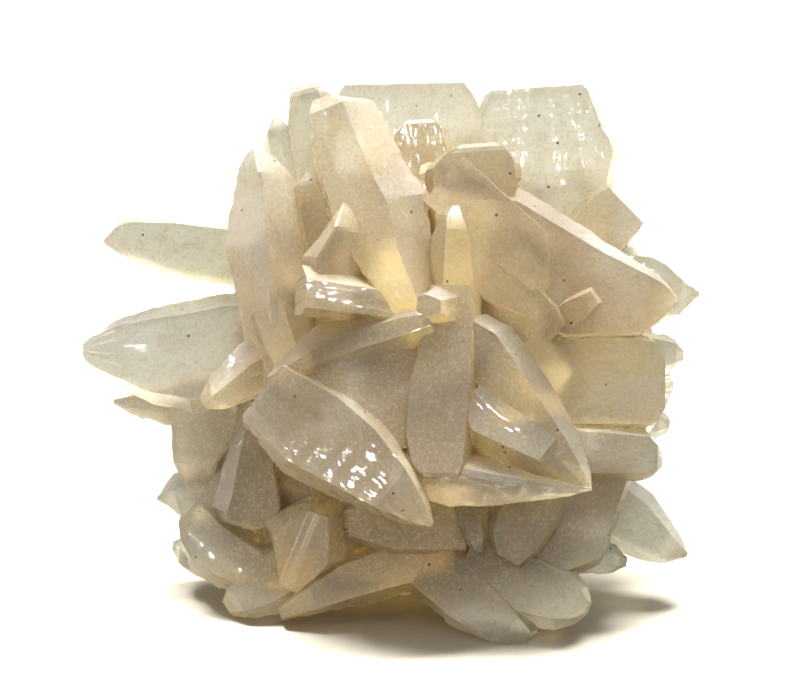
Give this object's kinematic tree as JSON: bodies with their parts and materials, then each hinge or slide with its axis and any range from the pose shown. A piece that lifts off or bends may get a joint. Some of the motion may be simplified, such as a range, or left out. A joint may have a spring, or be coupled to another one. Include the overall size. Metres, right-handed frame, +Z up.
{
  "type": "witherite crystal cluster",
  "caption": "Hand-size cluster of translucent cream witherite: blunt bladed crystals grown together in every direction, standing on its own underside.",
  "frame": {"origin": "on the ground, under the middle of the cluster's bounding box", "axes": "+Z up, +X to the right of the display face, -Y towards whoever looks at the display face, which leans back 20 degrees"},
  "size_m": [0.093, 0.064, 0.0745],
  "materials": {
    "witherite": "translucent vitreous crystal faces, cream to pale greenish white, honey brown in the crevices"
  },
  "bodies": {
    "root": {"witherite_cluster": "witherite"}
  },
  "joints": []
}
